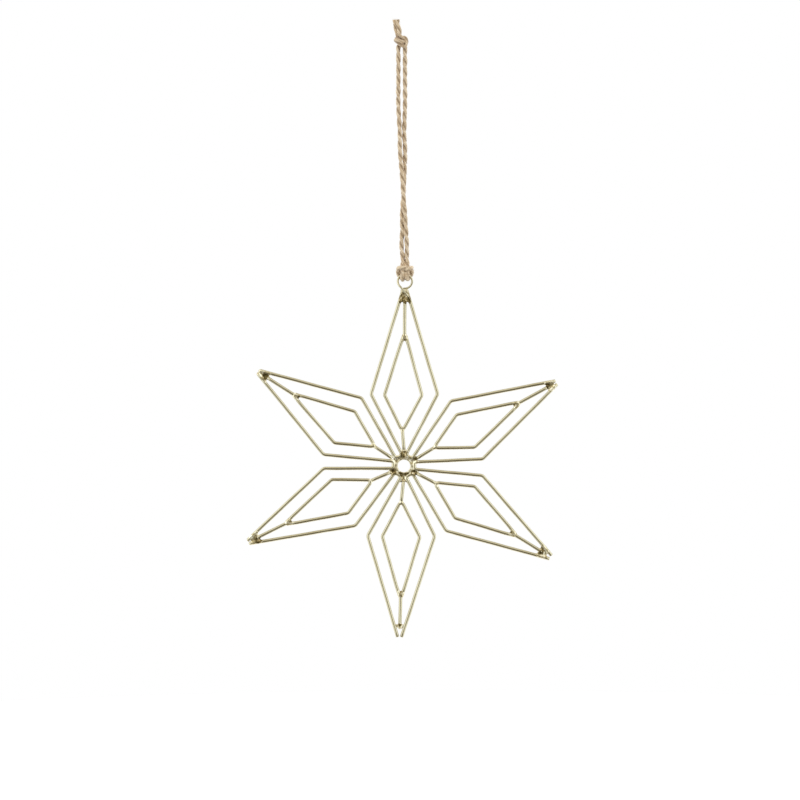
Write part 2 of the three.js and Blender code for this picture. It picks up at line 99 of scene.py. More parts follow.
# The eye: its ends start out of its plane at two angles and leave the loop at two more, and stand off in
# front of and behind the tip. The front tail's end comes first, then the places that the rear tail passes,
# each to the right and up.
EYE_WIRE = 0.6
EYE_RADIUS = 4.1
EYE_OUT = 106.3
EYE_STAND_OFF = 1.65
EYE_LEAVES = (234, -92)
EYE_PARTS = (145, 35)
EYE_TAILS = ((2.2, -9.1), (-0.8, -4.18), (-1.35, -4.45), (-1.75, -4.9), (-2.0, -5.6))
# The room round the eye's wire that loose fibres keep out of, so that it can swing.
EYE_ROOM = 1.25
# Drawn wire: sides, longest run, wander, unevenness, and the broken edge and size of its cut ends.
WIRE_SIDES = 18
WIRE_RUN = 2.6
WIRE_WANDER = 0.06
WIRE_UNEVEN = 0.012
CUT_EDGE = 0.18
CUT_SIZE = 0.8
# The strongest stain on the wire, and the share of a stain's size that has all of it.
WIRE_HEAT = 0.35
HEAT_CORE = 0.45

# Twine: its declared diameter, its diameter as drawn, one turn of its plies, its swelling, and the painted
# shade in its grooves, more in the knot and less in the hitch.
PLUMP = 2.6
TWINE_LAY = 12.5
TWINE_STEP = 0.36
TWINE_UNEVEN = 0.1
KNOT_SWELL = 0.99
HITCH_SWELL = 1.14
KNOT_GROOVE_SHADE = 0.3
HITCH_GROOVE_SHADE = -0.35
# Heights over which the knot begins and ends, and the hitch begins.
KNOT_FROM, KNOT_TO = (0, 1.5), (8, 9.5)
HITCH_FROM = (-124, -120)
# Each ply's offset and radius as shares of the twine's diameter.
PLY_OFF = 0.15
PLY_RADIUS = 0.37
PLY_SIDES = 12
# How the grain of a ply runs round it, how far along the second ply's lies, and where the painted shade on a
# ply's side towards the other ply begins.
PLY_GRAIN = 0.7
PLY_SHIFT = 300
PLY_GROOVE_SHADE = (-0.25, 0.6)
LOOSE_FIBRES = 380
FRAYED_FIBRES = 22
FIBRE_RINGS, FIBRE_SIDES = 4, 3
FIBRE_TAPER = (1.0, 0.85, 0.6, 0.25)
# How much fibres lean along the twine, and where in its thickness, how long and how thick they start.
LOOSE_LEAN, FRAYED_LEAN = 0.55, 2.2
LOOSE_FROM, FRAYED_FROM = 0.95, 0.5
FIBRE_OUT = 0.46
FIBRE_LENGTH, FIBRE_RADIUS = (0.4, 1.2), (0.02, 0.045)
# The hitch's wrap round the eye's wire, the spacing of its strands and its rise.
HITCH_WRAP, HITCH_SPACING, HITCH_RISE = 2.05, 2.45, 7.6
# Each leg's way from the knot down to the hitch: to the right, behind and up, in millimetres.
LEFT_LEG = [
    (-1.9, 0, 0), (-1.95, 0, -6), (-2.05, 0, -18), (-2.05, -0.1, -33), (-1.4, -0.5, -48),
    (-1.35, -0.7, -58), (-0.3, -1.25, -72), (0.5, -1.35, -84), (1.5, -1.0, -96), (1.9, -0.5, -105),
    (2.3, -0.1, -113),
]
RIGHT_LEG = [
    (1.9, 0, 0), (1.85, 0, -6), (1.8, 0, -18), (1.75, 0.1, -33), (1.2, 0.5, -48),
    (1.6, 0.7, -58), (1.2, 1.25, -72), (0.5, 1.35, -84), (-0.3, 1.0, -96), (-0.3, 0.45, -105),
    (-0.75, 0.2, -113),
]
# Each strand's way through the overhand knot: up behind, round the right lobe, across in front,
# round the left lobe, behind the rising strands and forward through the loop to the tails.
LEFT_KNOT = [
    (-1.75, 0.2, 1.2), (-1.0, 0.9, 2.4), (-0.5, 1.5, 3.8), (-0.2, 1.9, 5.2),
    (0.6, 1.8, 6.2), (1.6, 1.3, 5.6), (2.0, 0.6, 4.3), (1.6, -0.4, 3.4),
    (0.3, -1.6, 3.7), (-1.2, -2.1, 4.6),
    (-2.5, -1.5, 5.7), (-2.9, -0.1, 6.1), (-2.3, 1.4, 5.8),
    (-0.8, 2.5, 5.0), (0.7, 2.4, 4.6), (1.0, 0.8, 5.0), (0.7, -0.5, 5.6), (-0.1, -1.2, 6.5),
    (-0.9, -1.3, 7.6),
]
RIGHT_KNOT = [
    (1.75, 0.2, 1.2), (1.1, 0.9, 2.2), (0.7, 1.2, 3.6), (0.6, 1.2, 5.0),
    (0.9, 0.6, 6.3), (2.0, 0.1, 6.0), (2.65, -0.3, 4.5), (2.45, -0.8, 2.7), (1.6, -1.7, 1.4),
    (0.3, -2.5, 1.9), (-1.2, -2.5, 3.0),
    (-2.6, -1.6, 4.4), (-3.2, 0.0, 5.0), (-2.5, 1.6, 4.6),
    (-0.9, 2.8, 3.6), (0.4, 2.2, 3.4), (0.6, 0.6, 3.9), (-0.2, -0.5, 4.9), (-1.3, -0.4, 6.1),
    (-2.2, -0.1, 7.3),
]
TAIL = [
    (-1.2, -1.3, 8.9), (-1.3, -1.2, 10.6), (-1.75, -1.05, 12.6), (-2.3, -0.95, 14.8), (-2.4, -0.9, 16.8),
]
TAIL_ASIDE = (-1.55, 1.4, 0)


def unit(v):
    return v / np.linalg.norm(v, axis=-1, keepdims=True)


def on_petal(angle, u, v=0.0, y=0.0):
    """A point u along a petal from the hub, v to its left and y behind the star's plane."""
    turn = math.radians(angle)
    c, s = math.cos(turn), math.sin(turn)
    return HUB + np.array((u * c - v * s, y, u * s + v * c))


def spline(points, per_span=24):
    """The smooth curve through the points that the solids' twine follows."""
    p = np.array(points, float)
    p = np.vstack([2 * p[0] - p[1], p, 2 * p[-1] - p[-2]])
    span = np.sqrt(np.linalg.norm(np.diff(p, axis=0), axis=1))
    t = np.linspace(0, 1, per_span, endpoint=False)[:, None]
    out = []
    for k in range(1, len(p) - 2):
        a, b, c, d = p[k - 1 : k + 3]
        d0, d1, d2 = span[k - 1 : k + 2]
        m1 = d1 * ((b - a) / d0 - (c - a) / (d0 + d1) + (c - b) / d1)
        m2 = d1 * ((c - b) / d1 - (d - b) / (d1 + d2) + (d - c) / d2)
        out.append(b + m1 * t + (-3 * b + 3 * c - 2 * m1 - m2) * t**2 + (2 * b - 2 * c + m1 + m2) * t**3)
    return np.vstack(out + [p[-2:-1]])


def step_up(x, low, high):
    """A smooth rise from 0 to 1 between two values."""
    t = np.clip((x - low) / (high - low), 0, 1)
    return t * t * (3 - 2 * t)


def run_of(line):
    """How far along a line each of its points lies."""
    return np.concatenate([[0], np.cumsum(np.linalg.norm(np.diff(line, axis=0), axis=1))])


def respaced(line, step):
    """The same line in steps of equal length."""
    run = run_of(line)
    count = max(2, int(round(run[-1] / step)) + 1)
    at = np.linspace(0, run[-1], count)
    return np.stack([np.interp(at, run, line[:, k]) for k in range(3)], axis=1)


def frames(line, first=(0.0, 1.0, 0.0)):
    """Tangents and two normals along a line, turned as little as possible from ring to ring."""
    tangent = unit(np.gradient(line, axis=0))
    side = np.array(first, float)
    normals = []
    for t in tangent:
        side = side - t * np.dot(side, t)
        side = side / np.linalg.norm(side)
        normals.append(side)
    normal = np.array(normals)
    return tangent, normal, np.cross(tangent, normal)


def bent(corners, radii, steps=9):
    """A bent wire's line: straight runs, and each corner rounded to its own radius."""
    line = [corners[0]]
    for k, radius in enumerate(radii):
        a, b, c = corners[k : k + 3]
        into, out = unit(b - a), unit(c - b)
        turn = math.acos(np.clip(np.dot(into, out), -1, 1))
        bend = unit(out - into * np.dot(into, out))
        start = b - into * radius * math.tan(turn / 2)
        for step in range(steps + 1):
            angle = turn * step / steps
            line.append(start + radius * (into * math.sin(angle) + bend * (1 - math.cos(angle))))
    return np.array(line + [corners[-1]])


def filled(line, step):
    """The same line with its long runs divided."""
    out = [line[:1]]
    for a, b in zip(line[:-1], line[1:]):
        parts = max(1, int(np.linalg.norm(b - a) / step))
        out.append(a + (b - a) * (np.arange(1, parts + 1) / parts)[:, None])
    return np.vstack(out)


def new_piece(name, points, faces, material, uv=None, marks=()):
    """A mesh object from points in millimetres, with named marks for its material to read."""
    mesh = bpy.data.meshes.new(name)
    mesh.from_pydata((np.asarray(points) * MM).tolist(), [], [list(map(int, f)) for f in faces])
    mesh.validate()
    mesh.shade_smooth()
    if uv is not None:
        corner = np.empty(len(mesh.loops), int)
        mesh.loops.foreach_get("vertex_index", corner)
        layer = mesh.uv_layers.new(name="along")
        layer.data.foreach_set("uv", (np.asarray(uv)[corner] * MM).astype(np.float32).ravel())
    for key, values in dict(marks).items():
        attribute = mesh.attributes.new(key, "FLOAT", "POINT")
        attribute.data.foreach_set("value", np.asarray(values, np.float32))
    mesh.materials.append(material)
    piece = bpy.data.objects.new(name, mesh)
    scene.collection.objects.link(piece)
    return piece


def ring_faces(rings, sides, start=0, closed=False):
    """The quads between rings of points."""
    k = np.arange(rings if closed else rings - 1)[:, None]
    j = np.arange(sides)[None, :]
    a, b = k * sides, ((k + 1) % rings) * sides
    n = (j + 1) % sides
    quads = np.stack(np.broadcast_arrays(a + j, a + n, b + n, b + j), axis=-1)
    return (quads.reshape(-1, 4) + start).tolist()


def end_caps(rings, sides, start=0):
    """The two faces that close the ends of a run of rings."""
    last = start + (rings - 1) * sides
    return [list(range(start, start + sides))[::-1], list(range(last, last + sides))]


def rings_at(line, normal, side, radius, sides):
    """Rings of points round a line, each of its own radius."""
    turn = np.linspace(0, 2 * math.pi, sides, endpoint=False)
    r = np.broadcast_to(np.asarray(radius, float).reshape(-1, 1, 1), (len(line), sides, 1))
    around = np.cos(turn)[None, :, None] * normal[:, None] + np.sin(turn)[None, :, None] * side[:, None]
    return (line[:, None] + r * around).reshape(-1, 3)


# Materials
def shader(name, metallic, roughness):
    material = bpy.data.materials.new(name)
    material.use_nodes = True
    tree = material.node_tree
    principled = tree.nodes["Principled BSDF"]
    principled.inputs["Metallic"].default_value = metallic
    principled.inputs["Roughness"].default_value = roughness
    return material, tree, principled


def noise(tree, vector, scale, stretch=(1, 1, 1), detail=4.0, lumpy=0.55):
    mapping = tree.nodes.new("ShaderNodeMapping")
    mapping.inputs["Scale"].default_value = stretch
    tree.links.new(vector, mapping.inputs["Vector"])
    node = tree.nodes.new("ShaderNodeTexNoise")
    node.inputs["Scale"].default_value = scale
    node.inputs["Detail"].default_value = detail
    node.inputs["Roughness"].default_value = lumpy
    tree.links.new(mapping.outputs["Vector"], node.inputs["Vector"])
    return node.outputs["Fac"]


def ramp(tree, factor, stops):
    node = tree.nodes.new("ShaderNodeValToRGB")
    elements = node.color_ramp.elements
    while len(elements) < len(stops):
        elements.new(0.5)
    for element, (place, colour) in zip(elements, stops):
        element.position = place
        element.color = (*colour, 1)
    tree.links.new(factor, node.inputs["Fac"])
    return node.outputs["Color"]


def spread(tree, factor, low, high, start=0.3, end=0.7):
    """A value from low to high as the factor goes from start to end."""
    node = tree.nodes.new("ShaderNodeMapRange")
    for key, value in zip(("From Min", "From Max", "To Min", "To Max"), (start, end, low, high)):
        node.inputs[key].default_value = value
    tree.links.new(factor, node.inputs["Value"])
    return node.outputs["Result"]


def mixed(tree, factor, a, b):
    node = tree.nodes.new("ShaderNodeMix")
    node.data_type = "RGBA"
    for value, socket in ((factor, node.inputs[0]), (a, node.inputs[6]), (b, node.inputs[7])):
        if isinstance(value, tuple):
            socket.default_value = (*value, 1)
        else:
            tree.links.new(value, socket)
    return node.outputs[2]


def combined(tree, operation, a, b=0.0):
    node = tree.nodes.new("ShaderNodeMath")
    node.operation = operation
    for value, socket in ((a, node.inputs[0]), (b, node.inputs[1])):
        if isinstance(value, float):
            socket.default_value = value
        else:
            tree.links.new(value, socket)
    return node.outputs[0]


def product(tree, first, *others):
    for other in others:
        first = combined(tree, "MULTIPLY", first, other)
    return first


def bump(tree, principled, height, strength, depth):
    node = tree.nodes.new("ShaderNodeBump")
    node.inputs["Strength"].default_value = strength
    node.inputs["Distance"].default_value = depth
    tree.links.new(height, node.inputs["Height"])
    tree.links.new(node.outputs["Normal"], principled.inputs["Normal"])


def coordinates(tree, kind):
    return tree.nodes.new("ShaderNodeTexCoord").outputs[kind]


def mark(tree, key):
    node = tree.nodes.new("ShaderNodeAttribute")
    node.attribute_name = key
    return node.outputs["Fac"]


def wire_material():
    material, tree, principled = shader("pale_brass_wire", 1.0, 0.34)
    along, place = coordinates(tree, "UV"), coordinates(tree, "Object")
    patches = noise(tree, place, 70, detail=3)
    streaks = noise(tree, along, 1, stretch=(180, 5200, 1), detail=3)
    tone = ramp(tree, patches, [(0.32, (0.5, 0.44, 0.275)), (0.68, (0.6, 0.54, 0.36))])
    drawn = mixed(tree, spread(tree, streaks, 0.0, 0.22), tone, (0.38, 0.32, 0.18))
    stained = mixed(tree, mark(tree, "heat"), drawn, (0.28, 0.22, 0.095))
    tree.links.new(stained, principled.inputs["Base Color"])
    tree.links.new(spread(tree, streaks, 0.15, 0.27), principled.inputs["Roughness"])
    bump(tree, principled, streaks, 0.25, 0.00004)
    return material


def braze_material():
    material, tree, principled = shader("flowed_braze", 0.95, 0.3)
    place = coordinates(tree, "Object")
    tone_and_glint_noise = noise(tree, place, 560, detail=5, lumpy=0.6)
    grain = noise(tree, place, 2600, detail=3)
    # The braze's own tone from dark olive to mid brass, with near-white cream spots that are painted
    # highlights.
    clean_tone_and_glints = ramp(
        tree, tone_and_glint_noise, [(0.38, (0.4, 0.32, 0.15)), (0.5, (0.7, 0.61, 0.38)), (0.6, (0.92, 0.86, 0.65))]
    )
    # Where the flame burnt it: near black to brown, with the same painted cream highlights in its lightest
    # spots.
    burnt = ramp(
        tree,
        tone_and_glint_noise,
        [
            (0.44, (0.09, 0.065, 0.02)),
            (0.55, (0.27, 0.195, 0.075)),
            (0.62, (0.6, 0.49, 0.27)),
            (0.7, (0.92, 0.84, 0.62)),
        ],
    )
    tree.links.new(mixed(tree, mark(tree, "burnt"), clean_tone_and_glints, burnt), principled.inputs["Base Color"])
    tree.links.new(spread(tree, grain, 0.2, 0.4), principled.inputs["Roughness"])
    bump(tree, principled, grain, 0.3, 0.0001)
    return material


def jute_material():
    material, tree, principled = shader("jute", 0.0, 0.92)
    along, place = coordinates(tree, "UV"), coordinates(tree, "Object")
    fibres = noise(tree, along, 1, stretch=(360, 2200, 1), detail=5, lumpy=0.65)
    slubs = noise(tree, place, 420, detail=3)
    tone = ramp(
        tree,
        fibres,
        [
            (0.32, (0.36, 0.24, 0.125)),
            (0.46, (0.64, 0.485, 0.3)),
            (0.56, (0.78, 0.63, 0.43)),
            (0.7, (0.92, 0.8, 0.6)),
        ],
    )
    slub_tone_and_groove_shade = mixed(tree, spread(tree, slubs, 0.0, 0.6, 0.38, 0.62), tone, (0.5, 0.34, 0.185))
    # Painted shade: the grooves between the plies, and more so in the knot, are darkened towards dark brown
    # in the colour.
    groove_shade_amount = spread(tree, mark(tree, "groove_shade"), 0.0, 0.85, 0.0, 1.0)
    tone_with_groove_shade = mixed(tree, groove_shade_amount, slub_tone_and_groove_shade, (0.26, 0.165, 0.085))
    tree.links.new(tone_with_groove_shade, principled.inputs["Base Color"])
    principled.inputs["Sheen Weight"].default_value = 0.25
    principled.inputs["Sheen Roughness"].default_value = 0.5
    bump(tree, principled, fibres, 0.7, 0.00025)
    return material


brass, jute, brazed = wire_material(), jute_material(), braze_material()


# Twine: each half of the one length runs from the middle of the hitch's bar to its tail.
def hitch_half():
    """Lark's head, from the bar in front of the legs, back over the top, under the eye's wire and up."""
    wrap, spacing, rise = HITCH_WRAP, HITCH_SPACING, HITCH_RISE
    return [
        (0, -1.52 * wrap, 1.62 * wrap),
        (0.7 * spacing, -1.46 * wrap, 1.68 * wrap),
        (1.26 * spacing, -1.08 * wrap, 1.76 * wrap),
        (1.5 * spacing, -0.3 * wrap, 1.66 * wrap),
        (1.52 * spacing, 0.5 * wrap, 1.3 * wrap),
        (1.48 * spacing, wrap, 0.5 * wrap),
        (1.24 * spacing, 1.28 * wrap, -0.46 * wrap),
        (0.82 * spacing, 1.12 * wrap, -1.12 * wrap),
        (0.53 * spacing, 0.32 * wrap, -1.32 * wrap),
        (0.49 * spacing, -0.64 * wrap, -1.12 * wrap),
        (0.5 * spacing, -1.1 * wrap, -0.25 * wrap),
        (0.5 * spacing, -0.95 * wrap, 0.5 * wrap),
        (0.5 * spacing, -0.4 * wrap, 1.2 * wrap),
        (0.5 * spacing, 0.02 * wrap, 1.95 * wrap),
        (0.47 * spacing, 0.12 * wrap, 0.78 * rise),
        (0.45 * spacing, 0.1 * wrap, rise),
    ]


def twine_line(mirror, leg, knot, aside):
    """One half of the twine's way: hitch, leg, knot and tail."""
    eye_top = on_petal(ANGLES[0], EYE_OUT + EYE_RADIUS)
    hitch = [eye_top + np.array((mirror * x, y, z)) for x, y, z in hitch_half()]
    tail = [tuple(np.add(point, aside)) for point in TAIL]
    return spline(hitch + leg[::-1] + knot + tail)


def waves(run, rng, lengths):
    """A smooth irregular value along a length, from -1 to 1."""
    total = sum(np.sin(2 * math.pi * run / length + rng.uniform(0, 6.28)) for length in lengths)
    return total / len(lengths)


def hair(base, out, rng, length, thick):
    """One loose fibre: a thin bent three-sided thread."""
    curl = np.clip(rng.normal(0, 0.3, 3), -0.5, 0.5)
    steps = np.linspace(0, 1, FIBRE_RINGS)[:, None]
    line = base + length * (out * steps + curl * steps**2)
    _, normal, side = frames(line, first=(0.31, 0.77, 0.55))
    return rings_at(line, normal, side, thick * np.array(FIBRE_TAPER), FIBRE_SIDES)


def by_the_eye(points):
    """True where a loose fibre would reach the room that the eye's wire swings through."""
    away = points - on_petal(ANGLES[0], EYE_OUT)
    return np.hypot(np.hypot(away[:, 0], away[:, 2]) - EYE_RADIUS, away[:, 1]).min() < EYE_ROOM


def twine(name, line, seed):
    """Two plies laid round each other along the line, with loose fibres."""
    rng = np.random.default_rng(seed)
    line = respaced(line, TWINE_STEP)
    run = run_of(line)
    tangent, normal, side = frames(line, first=(0, 0, 1))
    height = line[:, 2]
    in_knot = step_up(height, *KNOT_FROM) * (1 - step_up(height, *KNOT_TO))
    in_hitch = 1 - step_up(height, *HITCH_FROM)
    pressed = 1 + (KNOT_SWELL - 1) * in_knot + (HITCH_SWELL - 1) * in_hitch
    # How much extra painted shade the grooves get: more in the knot, less in the hitch.
    slub_tone_and_groove_shade = KNOT_GROOVE_SHADE * in_knot + HITCH_GROOVE_SHADE * in_hitch
    turned = np.linspace(0, 2 * math.pi, PLY_SIDES, endpoint=False)
    around = PLY_GRAIN * (math.pi - np.abs(turned - math.pi))
    # Painted shade: each ply's side towards the other ply, in the groove between them, is marked to be
    # darkened in the colour.
    inner_side_shade = 1 - step_up(np.cos(turned), *PLY_GROOVE_SHADE)
    points, faces, uv, groove_shades, count = [], [], [], [], 0
    for ply in range(2):
        turn = -2 * math.pi * run / TWINE_LAY + math.pi * ply
        arm = np.cos(turn)[:, None] * normal + np.sin(turn)[:, None] * side
        size = PLUMP * pressed * (1 + TWINE_UNEVEN * waves(run, rng, (4.3, 9.1, 17.0)))
        centre = line + arm * (PLY_OFF * size)[:, None]
        points.append(rings_at(centre, arm, np.cross(tangent, arm), PLY_RADIUS * size, PLY_SIDES))
        faces += ring_faces(len(line), PLY_SIDES, count) + end_caps(len(line), PLY_SIDES, count)
        groove_shades.append(np.clip(np.add.outer(slub_tone_and_groove_shade, inner_side_shade), 0, 1).ravel())
        uv.append(np.stack(np.meshgrid(run + PLY_SHIFT * ply, around, indexing="ij"), axis=-1).reshape(-1, 2))
        count += len(line) * PLY_SIDES
    loose = [(rng.integers(3, len(line) - 1), LOOSE_LEAN) for _ in range(LOOSE_FIBRES)]
    frayed = [(len(line) - 1 - rng.integers(0, 4), FRAYED_LEAN) for _ in range(FRAYED_FIBRES)]
    fibre_points = FIBRE_RINGS * FIBRE_SIDES
    for k, forward in loose + frayed:
        turn = rng.uniform(0, 2 * math.pi)
        arm = math.cos(turn) * normal[k] + math.sin(turn) * side[k]
        at_end = forward == FRAYED_LEAN
        lean = forward * (1 if at_end else rng.choice((-1, 1))) * tangent[k]
        out = FIBRE_OUT * PLUMP * pressed[k] * rng.uniform(FRAYED_FROM if at_end else LOOSE_FROM, 1)
        base, heading = line[k] + arm * out, unit(arm * 0.6 + lean)
        thread = hair(base, heading, rng, rng.uniform(*FIBRE_LENGTH), rng.uniform(*FIBRE_RADIUS))
        if by_the_eye(thread):
            continue
        points.append(thread)
        faces += ring_faces(FIBRE_RINGS, FIBRE_SIDES, count) + end_caps(FIBRE_RINGS, FIBRE_SIDES, count)
        uv.append(np.tile((run[k], turn), (fibre_points, 1)))
        groove_shades.append(np.zeros(fibre_points))
        count += fibre_points
    piece = new_piece(name, np.vstack(points), faces, jute, np.vstack(uv), {"groove_shade": np.hstack(groove_shades)})
    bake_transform(piece)
    return piece


left_line = twine_line(1, LEFT_LEG, LEFT_KNOT, (0, 0, 0))
right_line = twine_line(-1, RIGHT_LEG, RIGHT_KNOT, TAIL_ASIDE)
left_twine = twine("twine_left", left_line, 11)
right_twine = twine("twine_right", right_line, 23)
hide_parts("cord_hitch", "cord_leg_left", "cord_knot", "cord_tail_right")
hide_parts("cord_leg_right", "cord_tail_left")


# Wires
def diamond_apex():
    """Where the middle of the diamond's inner bend lies along the petal."""
    half_turn = math.atan2(DIAMOND_SHOULDER[0] - NEAR[0], DIAMOND_SHOULDER[1])
    return NEAR[0] + NEAR[1] * (1 / math.cos(half_turn) - 1)


def outer_corners(k):
    """The corners of an outer wire, from a petal's tip round the U bend to the next petal's tip."""
    after = (k + 1) % 6
    here, there = ANGLES[k], ANGLES[after] - (360 if after == 0 else 0)
    middle, aside = (here + there) / 2, ASIDES[k] * U_HALF
    return [
        on_petal(here, REACHES[k], -TIP_HALF),
        on_petal(here, SHOULDER[0] * RIGHTS[k][0], -SHOULDER[1] * RIGHTS[k][1]),
        on_petal(middle, U_BOTTOM, aside + U_HALF),
        on_petal(middle, U_BOTTOM, aside - U_HALF),
        on_petal(there, SHOULDER[0] * LEFTS[after][0], SHOULDER[1] * LEFTS[after][1]),
        on_petal(there, REACHES[after], TIP_HALF),
    ]


def outer_line(k):
    return bent(outer_corners(k), [SHOULDER[2], U_BEND, U_BEND, SHOULDER[2]])


def on_diamond(k, u, v=0.0):
    """A point of a diamond, which leans most at its inner corner and not at all at its cut ends."""
    share = (FAR[0] - u) / (FAR[0] - NEAR[0])
    return on_petal(ANGLES[k], u, v + LEANS[k] * DIAMOND_SHOULDER[1] * share)


def diamond_line(k):
    out, half, bend = DIAMOND_SHOULDER
    left = [on_diamond(k, *FAR), on_diamond(k, *PINCH[:2]), on_diamond(k, out, half)]
    right = [on_diamond(k, out, -half), on_diamond(k, PINCH[0], -PINCH[1]), on_diamond(k, FAR[0], -FAR[1])]
    return bent(left + [on_diamond(k, NEAR[0])] + right, [PINCH[2], bend, NEAR[1], bend, PINCH[2]])


def hub_link_line(k):
    """From the mouth of the pocket between two arms to the diamond's inner bend."""
    arms = outer_corners(k)[1:3], outer_corners(k - 1)[3:5]
    mouth = []
    for a, b in arms:
        out_a, out_b = np.linalg.norm(a - HUB), np.linalg.norm(b - HUB)
        mouth.append(a + (b - a) * (HUB_LINK_FROM - out_a) / (out_b - out_a))
    return np.array([sum(mouth) / 2, on_diamond(k, diamond_apex() - WIRE)])


def tip_link_line(k):
    return np.array([on_petal(ANGLES[k], TIP_LINK_FROM), on_petal(ANGLES[k], REACHES[k] - TIP_LINK_SETBACK)])


def eye_line():
    """The eye, from its tail in front of the tip round to its tail behind it."""

    def at(right, up, y):
        return on_petal(ANGLES[0], EYE_OUT + up, -right, y)

    def around(angle):
        turn = math.radians(angle)
        front = step_up(angle, EYE_PARTS[0], EYE_LEAVES[0])
        behind = step_up(-angle, -EYE_PARTS[1], -EYE_LEAVES[1])
        return at(EYE_RADIUS * math.cos(turn), EYE_RADIUS * math.sin(turn), EYE_STAND_OFF * (behind - front))

    loop = [around(angle) for angle in np.linspace(*EYE_LEAVES, 80)]
    under = [at(*place, EYE_STAND_OFF) for place in EYE_TAILS[1:]]
    return np.array([at(*EYE_TAILS[0], -EYE_STAND_OFF)] + loop + under)


def ring_line():
    turn = np.linspace(0, 2 * math.pi, 72, endpoint=False)
    return HUB + RING * np.stack([np.cos(turn), 0 * turn, np.sin(turn)], axis=1)


# Where the flame stained the wires, and how far round: the hub, the tips and the diamonds' two corners.
HUB_HEAT, TIP_HEAT, CORNER_HEAT = 6.5, 7.5, 4.0
TIP_HEAT_BACK, NEAR_HEAT_OUT = 3.5, 21.5
HEATED = [(HUB, HUB_HEAT)]
for k, (angle, reach) in enumerate(zip(ANGLES, REACHES)):
    HEATED += [
        (on_petal(angle, reach - TIP_HEAT_BACK), TIP_HEAT),
        (on_petal(angle, FAR[0]), CORNER_HEAT),
        (on_diamond(k, NEAR_HEAT_OUT), CORNER_HEAT),
    ]


def heat_at(points):
    """How much the flame stained the wire at each point."""
    heat = np.zeros(len(points))
    for centre, size in HEATED:
        away = np.linalg.norm(points - centre, axis=1)
        heat = np.maximum(heat, 1 - step_up(away, HEAT_CORE * size, size))
    return WIRE_HEAT * heat


def wire(name, line, radius, nodes, seed, closed=False):
    """A round wire, not quite straight, with its cut ends' edges broken."""
    rng = np.random.default_rng(seed)
    if not closed:
        line = filled(line, WIRE_RUN)
        into, out = unit(line[1] - line[0]), unit(line[-1] - line[-2])
        edge = CUT_EDGE * radius
        line = np.vstack([line[:1], line[0] + edge * into, line[1:-1], line[-1] - edge * out, line[-1:]])
    run = run_of(line)
    wander = 0.0 if closed else WIRE_WANDER
    tangent, normal, side = frames(line)
    if closed:
        tangent = unit(np.roll(line, -1, axis=0) - np.roll(line, 1, axis=0))
        side = np.cross(tangent, normal)
    line = line + wander * (
        waves(run, rng, (31.0, 47.0))[:, None] * normal + waves(run, rng, (23.0, 61.0))[:, None] * side
    )
    size = radius * (1 + WIRE_UNEVEN * waves(run, rng, (3.1, 7.7)))
    faces = ring_faces(len(line), WIRE_SIDES, closed=closed)
    if not closed:
        size[[0, -1]] *= CUT_SIZE
        faces += end_caps(len(line), WIRE_SIDES)
    points = rings_at(line, normal, side, size, WIRE_SIDES)
    turned = np.linspace(0, 2 * math.pi, WIRE_SIDES, endpoint=False)
    around = radius * (math.pi - np.abs(turned - math.pi))
    uv = np.stack(np.meshgrid(run + 37.0 * seed, around, indexing="ij"), axis=-1).reshape(-1, 2)
    piece = new_piece(name, points, faces, brass, uv, {"heat": heat_at(points)})
    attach(piece, "star")
    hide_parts(*nodes)
    return piece


outer_lines = [outer_line(k) for k in range(6)]
for k, petal in enumerate(NAMES):
    wire(f"bent_outer_wire_{k + 1}", outer_lines[k], WIRE, [f"outer_wire_{k + 1}"], 10 + k)
    wire(f"bent_diamond_{petal}", diamond_line(k), WIRE, [f"diamond_{petal}"], 20 + k)
    wire(f"straight_hub_link_{petal}", hub_link_line(k), WIRE, [f"hub_link_{petal}"], 30 + k)
    wire(f"straight_tip_link_{petal}", tip_link_line(k), WIRE, [f"tip_link_{petal}"], 40 + k)
wire("round_hub_ring", ring_line(), RING_WIRE, ["hub_ring"], 50, closed=True)
wire("wound_hanging_eye", eye_line(), EYE_WIRE, ["hanging_eye"], 51)


# Braze: metal that flowed between the wires, drawn as one smooth skin over a field of distances.
# Its skin lies a little under the wires' own, thins past its zone and ends, and is uneven.
BRAZE_SUNK = 0.05
THIN_SLOWLY, THIN_FAST, THIN_FAST_FROM = 0.05, 0.3, 0.9
END_RATE, END_FROM = 0.5, 1.2
BRAZE_WAVES, BRAZE_WAVE_RATE, BRAZE_WAVE = 5, 2.4, 0.018
BURNT_CORE = 0.6


def distance_to(points, line):
    """How far each point is from a wire's line."""
    least = np.full(len(points), np.inf)
    for a, b in zip(line[:-1], line[1:]):
        span = b - a
        share = np.clip((points - a) @ span / np.dot(span, span), 0, 1)
        least = np.minimum(least, np.linalg.norm(points - a - share[:, None] * span, axis=1))
    return least


def near_part(line, centre, reach):
    """The stretch of a finely divided line within reach of a point."""
    fine = filled(line, 1.0)
    close = np.flatnonzero(np.linalg.norm(fine - centre, axis=1) < reach)
    return fine[max(close[0] - 1, 0) : close[-1] + 2] if len(close) else None


def joined(fields, soft):
    """The soft union of several fields, which fillets the corners between them."""
    return -soft * np.log(sum(np.exp(-np.clip(field, -4, 8) / soft) for field in fields))


